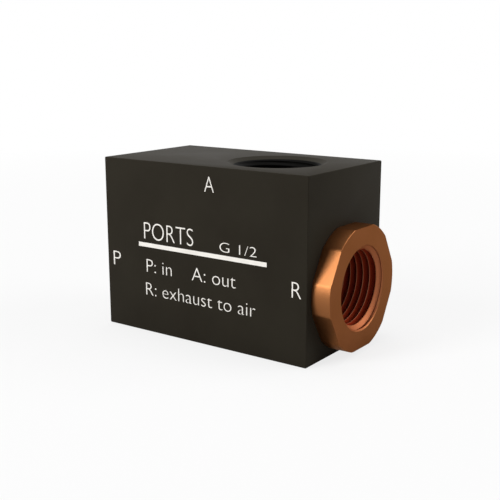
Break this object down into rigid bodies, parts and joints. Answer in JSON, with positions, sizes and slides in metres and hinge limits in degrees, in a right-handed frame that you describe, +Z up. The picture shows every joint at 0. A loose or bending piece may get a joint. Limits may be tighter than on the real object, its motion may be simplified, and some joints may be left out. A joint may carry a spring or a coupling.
{
  "type": "quick exhaust valve",
  "caption": "Block-shaped pneumatic quick exhaust valve: female supply, outlet and exhaust ports, hex-flanged exhaust fitting, lipped rubber shuttle sliding between the seats.",
  "frame": {"origin": "on the base plane, under the middle of the whole valve with its fitting", "axes": "+X along the flow axis from the supply port to the exhaust port, +Z up through the outlet port, -Y is the marked face"},
  "size_m": [0.0675, 0.035, 0.045],
  "materials": {
    "black_anodised_aluminium": "satin black anodised",
    "turned_bronze": "turned and milled, satin",
    "moulded_rubber": "smooth moulded nitrile"
  },
  "bodies": {
    "housing": {"valve_body": "black_anodised_aluminium", "exhaust_fitting": "turned_bronze", "fitting_o_ring": "moulded_rubber"},
    "shuttle": {"shuttle_seal": "moulded_rubber"}
  },
  "joints": [
    {"name": "shuttle_slide", "type": "slide", "parent": "housing", "child": "shuttle", "axis": [1, 0, 0], "range_m": [0, 0.0035]}
  ]
}
